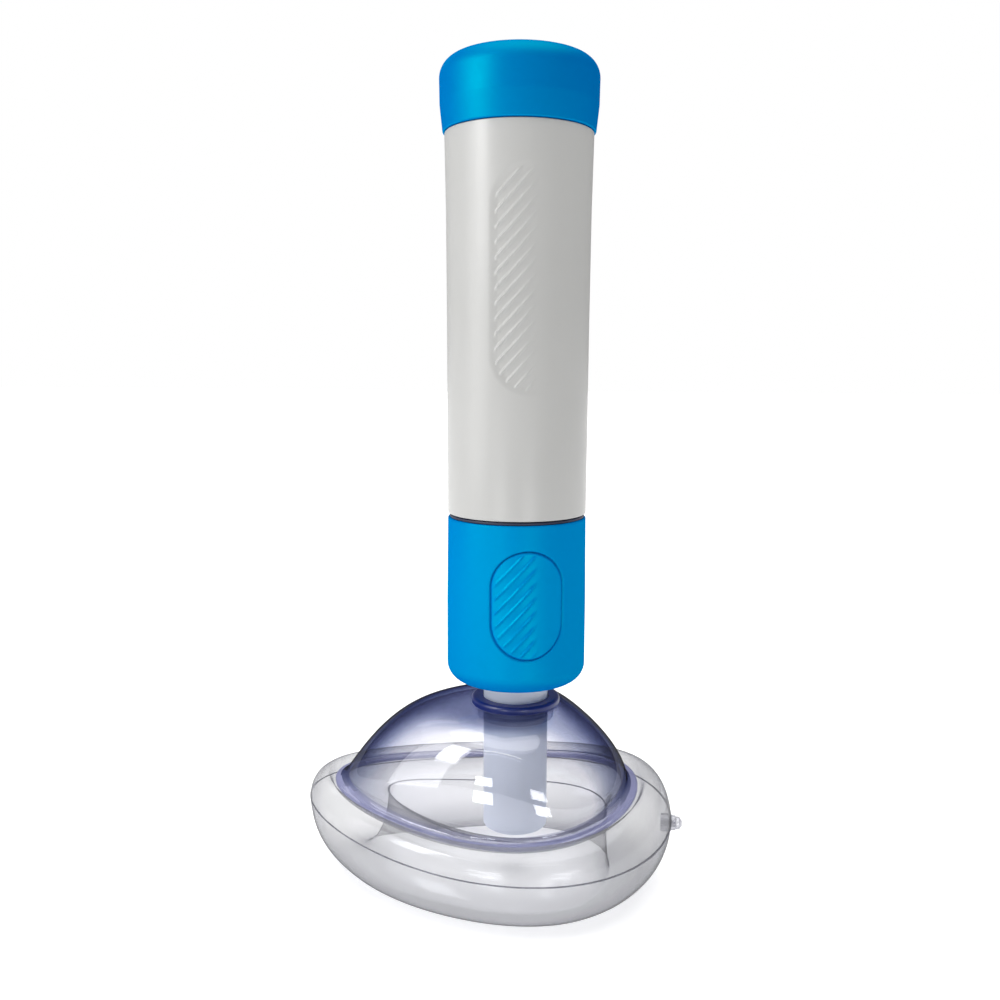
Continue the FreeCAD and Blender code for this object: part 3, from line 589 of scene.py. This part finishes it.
def make_dome():
    """The shell, its inner side and its flange in their own tints, and the port's collar under the ring."""
    dome = band("mask_shell", [dome_section(angle) for angle in even_angles(MASK_STEPS)], 50)
    dress(dome, "clear_dome", "mask", "mask_dome")
    dome.data.materials.append(FLANGE_MATERIAL)
    dome.data.materials.append(DOME_INSIDE_MATERIAL)
    middle = Vector((PUMP_X * MM, 0, 0))
    for face in dome.data.polygons:
        angle = math.atan2(face.center.y, face.center.x)
        if face.center.z < (height_at(angle, FLANGE) + 0.15) * MM:
            face.material_index = 1
        elif face.normal.dot(face.center - middle) < 0:
            face.material_index = 2
    low, high = PORT_Z
    collar = turned("mask_port", rounded([
        (PORT_BORE_R, low, 0.4), (PORT_R, low, 0.4), (PORT_R, high, 0.5), (PORT_BORE_R, high, 0.5)]))
    dress(collar, "clear_dome", "mask", material=COLLAR_MATERIAL)


def make_neck_ring():
    low, high = node_box("neck_ring")
    outer = (high.x - low.x) / 2
    seat, bore = PORT_R + 0.1, PORT_BORE_R + 0.2
    ring = turned("neck_ring_body", rounded([
        (seat, low.z), (outer, low.z, 0.7), (outer, high.z, 1.1), (bore, high.z, 0.2), (bore, RING_LIP_Z),
        (seat, RING_LIP_Z)]))
    dress(ring, "neck_blue", "mask", "neck_ring")


def make_tube():
    bore, flange = TUBE_R - TUBE_WALL, tube_high.x - PUMP_X
    tube = turned("frosted_airway_tube", rounded([
        (bore, tube_low.z, 0.5), (TUBE_R, tube_low.z, 0.7), (TUBE_R, TUBE_FLANGE_Z, 0.3),
        (flange, TUBE_FLANGE_Z, 0.3), (flange, tube_high.z, 0.3), (bore, tube_high.z, 0.3)]))
    dress(tube, "frosted_tube", "airway", "airway_tube")


def turned_along_x(name, outline):
    """A small round piece about the inflation valve's axis: points are (x, radius)."""
    low, high = node_box("inflation_valve")
    centre_z = (low.z + high.z) / 2
    grid = [[(x, r * math.cos(angle), centre_z + r * math.sin(angle)) for x, r in outline]
            for angle in even_angles(64)]
    return band(name, grid)


def make_inflation_valve():
    """The short clear stem at the chin end, tapering to its mouth, and the plug in it."""
    low, high = node_box("inflation_valve")
    plug_low, plug_high = node_box("inflation_plug")
    radius, bore, shank = (high.z - low.z) / 2, 1.45, 1.3
    mouth = radius - 0.5
    stem = turned_along_x("inflation_stem", rounded([
        (low.x, bore), (low.x, radius), (high.x - 3.0, radius, 0.4), (high.x - 1.1, mouth, 0.8),
        (high.x, mouth, 0.25), (high.x, bore, 0.2)]))
    dress(stem, "clear_valve", "mask", "inflation_valve")
    head, axis = (plug_high.z - plug_low.z) / 2 - 0.3, 0.02
    face = high.x + 0.12
    plug = turned_along_x("inflation_plug_body", rounded([
        (plug_low.x, axis), (plug_low.x, shank, 0.3), (face, shank), (face, head, 0.2),
        (plug_high.x - 0.9, head - 0.1, 0.6), (plug_high.x, 0.9, 0.8), (plug_high.x, axis)]))
    dress(plug, "clear_valve", "plug", "inflation_plug")


# ---- pump pieces ----

def pad_distance(across, z, middle, half_height, half_width):
    """How far a point is inside a stadium's outline, positive inside."""
    straight = half_height - half_width
    beyond = max(0.0, abs(z - middle) - straight)
    return half_width - math.hypot(across, beyond)


def rib_height(across, z, inside, margin, fade):
    """Slanted ribs that run out at a pad's far side."""
    phase = (z - across * math.tan(RIB_SLOPE)) / RIB_PITCH
    wave = 0.5 + 0.5 * math.cos(TAU * phase)
    strength = smooth_step(margin - 0.5, margin + 0.5, inside) * (1 - smooth_step(*fade, across))
    return wave ** 8 * strength


def pad_across(angle, radius):
    """Distance from the middle line of the nearer pad, positive to the right as seen from in front of it."""
    front = math.sin(angle) < 0
    middle = -math.pi / 2 if front else math.pi / 2
    turn = (angle - middle + math.pi) % TAU - math.pi
    return radius * math.sin(turn)


def make_sleeve():
    """The grey sleeve, flared to the top, with a ribbed hollow that runs out to the right."""
    low, high = node_box("grip_sleeve")
    pad_low, pad_high = SLEEVE_PAD_Z
    middle, half_height = (pad_low + pad_high) / 2, (pad_high - pad_low) / 2

    def shape(angle, r, z):
        if r < OUTSIDE_R or not pad_low - 2 < z < pad_high + 2:
            return r
        across = pad_across(angle, r)
        inside = pad_distance(across, z, middle, half_height, PAD_WIDTH / 2)
        hollow = max(0.0, HOLLOW_DEPTH - HOLLOW_SLOPE * across) * smooth_step(-0.6, 2.2, inside)
        return r - hollow + (hollow + 0.1) * rib_height(across, z - middle, inside, 1.4, (-1.0, 3.0))

    outline = rounded([
        (SLEEVE_INNER_R, low.z, 0.3), (23.1, low.z, 0.5), (23.14, 140.0), (23.22, 160.0), (23.3, 190.0),
        (23.54, 225.0), (24.0, 248.5, 0.3), (SPIGOT_R, 248.5), (SPIGOT_R, high.z), (SLEEVE_INNER_R, high.z)])
    outline = subdivided(outline, 0.3, pad_low - 2, pad_high + 2)
    sleeve = turned("sleeve_body", outline, pad_angles(FINE_HALF_WIDTH, 110), shape, 60)
    dress(sleeve, "grey_sleeve", "handle", "grip_sleeve")


def make_housing():
    low, high = node_box("lower_housing")
    floor = low.z + 2.2
    pad_low, pad_high = HOUSING_PAD_Z
    middle, half_height = (pad_low + pad_high) / 2, (pad_high - pad_low) / 2

    def shape(angle, r, z):
        if r < OUTSIDE_R or not pad_low - 2 < z < pad_high + 2:
            return r
        inside = pad_distance(pad_across(angle, r), z, middle, half_height, PAD_WIDTH / 2)
        return r - PAD_DEPTH * smooth_step(-0.12, 0.28, inside)

    outline = rounded([
        (HOUSING_BORE_R, low.z, 0.3), (23.4, low.z, 5.8), (23.38, 97.0), (23.1, high.z, 0.5),
        (HOUSING_INNER_R, high.z, 0.2), (HOUSING_INNER_R, floor, 2.0), (HOUSING_BORE_R, floor, 0.2)], 12)
    outline = subdivided(outline, 0.25, pad_low - 1, pad_high + 1)
    housing = turned("housing_body", outline, pad_angles(FINE_HALF_WIDTH, 130), shape, 60)
    dress(housing, "blue_housing", "pump", "lower_housing")
    for name, turn in (("front", 0.0), ("back", math.pi)):
        make_thumb_pad(name, turn, middle, half_height)


def make_thumb_pad(name, turn, middle, half_height):
    """The pad let into the housing: a crowned skin with ribs, over a plain back."""
    half_width = PAD_WIDTH / 2 - PAD_GAP
    tall = half_height - PAD_GAP
    straight = tall - half_width
    levels = [-straight - half_width * math.cos(a) for a in np.linspace(0.02, math.pi / 2, 40)]
    levels += list(np.linspace(-straight, straight, 60)[1:-1])
    levels += [straight + half_width * math.sin(a) for a in np.linspace(0, math.pi / 2 - 0.02, 40)]
    shares = [math.sin(a) * 0.5 + a / math.pi for a in np.linspace(-math.pi / 2, math.pi / 2, 100)]
    front_rows, back_rows = [], []
    for level in levels:
        beyond = max(0.0, abs(level) - straight)
        reach = math.sqrt(max(0.0, half_width ** 2 - beyond ** 2))
        front_row, back_row = [], []
        for share in shares:
            across = share * reach
            inside = pad_distance(across, level, 0.0, tall, half_width)
            edge = 0.45 * (1 - smooth_step(0.0, 0.55, inside))
            rib = RIB_HEIGHT * rib_height(across, level, inside, 1.2, (0.5, 3.5))
            heading = -math.pi / 2 + turn + math.asin(across / PAD_FACE_R) + PUMP_TURN
            for row, radius in ((front_row, PAD_FACE_R - edge + rib), (back_row, PAD_BACK_R)):
                row.append((PUMP_X + radius * math.cos(heading), radius * math.sin(heading), middle + level))
        front_rows.append(front_row)
        back_rows.append(back_row[::-1])
    grid = [front + behind for front, behind in zip(front_rows, back_rows)]
    pad = closed_strip("thumb_pad_" + name + "_skin", grid)
    dress(pad, "blue_pad", "pump", "thumb_pad_" + name)


def closed_strip(name, grid):
    """Like band, but open from the last row to the first, with both ends capped."""
    grid = np.asarray(grid, float) * MM
    rows, columns = grid.shape[:2]
    index = np.arange(rows * columns).reshape(rows, columns)
    beside = np.roll(index, -1, axis=1)
    faces = np.stack([index[:-1], index[1:], beside[1:], beside[:-1]], axis=-1)
    faces = faces.reshape(-1, 4).tolist() + [index[0].tolist(), index[-1][::-1].tolist()]
    mesh = bpy.data.meshes.new(name)
    mesh.from_pydata(grid.reshape(-1, 3).tolist(), [], faces)
    finish_mesh(mesh, 50)
    return new_object(name, mesh)


def make_cap():
    """The blue cap: a slightly domed crown, a rounded rim, and a hub inside for the rod."""
    low, high = node_box("top_cap")
    crown = high.z
    top = [(r, crown - (crown - CAP_RIM_Z) * (r / CAP_CROWN_R) ** 2) for r in (0.02, 4, 8, 12, 15.5)]
    outline = top[::-1] + [
        (0.02, 264.0), (4.0, 264.0), (4.0, CAP_HUB_Z), (CAP_HUB_R, CAP_HUB_Z, 0.4), (CAP_HUB_R, CAP_ROOF_Z),
        (CAP_CROWN_R, CAP_ROOF_Z, 1.5), (22.8, 263.0), (22.8, low.z), (24.6, low.z, 0.5),
        (25.5, 257.0, 8.0), (25.75, 271.0, 6.4)]
    cap = turned("cap_body", rounded(outline, 14), even_angles(216))
    dress(cap, "blue_cap", "handle", "top_cap")


def make_gasket():
    low, high = node_box("joint_gasket")
    bottom = low.z + 0.02
    inner, outer = 19.2, 22.5
    ring = turned("joint_ring", rounded([
        (inner, bottom), (outer, bottom, 0.3), (outer, high.z, 0.3), (inner, high.z)]), even_angles(216))
    dress(ring, "gasket_navy", "pump", "joint_gasket")


# ---- stage ----

def make_camera():
    """The camera stands in front and a little to the chin side, and looks slightly down."""
    azimuth = math.radians(6.3)
    distance, height = 338.55 * MM, 175.85 * MM
    pitch, swing, roll = math.radians(7.67), math.radians(0.96), math.radians(0.25)
    data = bpy.data.cameras.new("camera")
    data.sensor_width = 36.0
    data.lens = 36.59
    data.clip_start = 0.01
    camera = bpy.data.objects.new("camera", data)
    bpy.context.scene.collection.objects.link(camera)
    place = Vector((PUMP_X * MM + distance * math.sin(azimuth), -distance * math.cos(azimuth), height))
    turn = Matrix.Rotation(azimuth + swing, 4, "Z") @ Matrix.Rotation(math.pi / 2 - pitch, 4, "X")
    camera.matrix_world = Matrix.Translation(place) @ turn @ Matrix.Rotation(roll, 4, "Z")
    bpy.context.scene.camera = camera


def make_world():
    """Soft white surroundings, seen as plain white behind the object."""
    world = bpy.data.worlds.new("studio")
    world.use_nodes = True
    tree = world.node_tree
    background = tree.nodes["Background"]
    seen = tree.nodes.new("ShaderNodeLightPath").outputs["Is Camera Ray"]
    strength = tree.nodes.new("ShaderNodeMapRange")
    strength.inputs["To Min"].default_value = 0.24
    strength.inputs["To Max"].default_value = 1.0
    tree.links.new(seen, strength.inputs["Value"])
    tree.links.new(strength.outputs["Result"], background.inputs["Strength"])
    background.inputs["Color"].default_value = (1.0, 1.0, 1.0, 1.0)
    bpy.context.scene.world = world
    bpy.context.scene.view_settings.view_transform = "Standard"


def make_floor():
    """A pale floor just under the cushion, bright enough to run into the white behind."""
    mesh = bpy.data.meshes.new("floor")
    reach = 6.0
    corners = [(-reach, -reach), (reach, -reach), (reach, reach), (-reach, reach)]
    mesh.from_pydata([(x, y, -0.0003) for x, y in corners], [], [(0, 1, 2, 3)])
    floor = new_object("floor", mesh)
    n = Nodes("studio_floor")
    paper = n.add("ShaderNodeBsdfPrincipled", Roughness=0.9)
    paper.inputs["Emission Color"].default_value = (1.0, 1.0, 1.0, 1.0)
    paper.inputs["Emission Strength"].default_value = 0.45
    shade = n.ramp(n.noise(3.0), (0.3, (0.74, 0.74, 0.74)), (0.7, (0.76, 0.76, 0.76)))
    n.link(shade, paper.inputs["Base Color"])
    n.link(paper.outputs["BSDF"], n.output.inputs["Surface"])
    mesh.materials.append(n.material)


def softbox(name, heading, rise, distance, size, radiance, only_in_gloss=False):
    """A rectangular light, by its heading from the front (positive to the right) and rise, in degrees.

    The distance and size are in metres. One that is only in gloss makes highlights and lights nothing else.
    """
    heading, rise = math.radians(heading), math.radians(rise)
    middle = Vector((PUMP_X * MM, -0.01, 0.05))
    away = Vector((math.sin(heading) * math.cos(rise), -math.cos(heading) * math.cos(rise), math.sin(rise)))
    data = bpy.data.lights.new(name, "AREA")
    data.shape = "RECTANGLE"
    data.size, data.size_y = size
    data.energy = radiance * math.pi * size[0] * size[1]
    lamp = bpy.data.objects.new(name, data)
    bpy.context.scene.collection.objects.link(lamp)
    lamp.location = middle + away * distance
    lamp.rotation_euler = (-away).to_track_quat("-Z", "Y").to_euler()
    lamp.visible_camera = False
    lamp.visible_diffuse = not only_in_gloss


def make_lights():
    """A broad light overhead for the floor, a key at the left, and small panes for the sharp highlights."""
    sky = bpy.data.lights.new("overhead", "SUN")
    sky.energy = 3.1
    sky.angle = math.radians(70)
    lamp = bpy.data.objects.new("overhead", sky)
    bpy.context.scene.collection.objects.link(lamp)
    softbox("side_softbox", -62, 20, 0.9, (0.5, 0.8), 2.9)
    softbox("high_pane", -52, 31, 0.75, (0.20, 0.30), 11.0, only_in_gloss=True)
    pane = (0.07, 0.036)
    for name, heading in (("left", -20), ("right", 27)):
        for rise in (-6.0, 5.0):
            softbox(f"{name}_pane_{rise:+.0f}", heading, rise, 0.3, pane, 9.0, only_in_gloss=True)
    softbox("front_strip", -8, 46, 0.9, (0.9, 0.03), 7.0, only_in_gloss=True)
    softbox("back_strip", -150, 40, 0.9, (0.7, 0.10), 2.0)


make_camera()
dress_cad_nodes()
make_cushion()
make_weld("cushion_outer_weld", outer_edge, SEAM, 0.28)
make_weld("cushion_inner_weld", rim_edge, RIM_LEVEL, 0.4)
make_dome()
make_neck_ring()
make_tube()
make_inflation_valve()
make_sleeve()
make_housing()
make_cap()
make_gasket()
make_world()
make_floor()
make_lights()
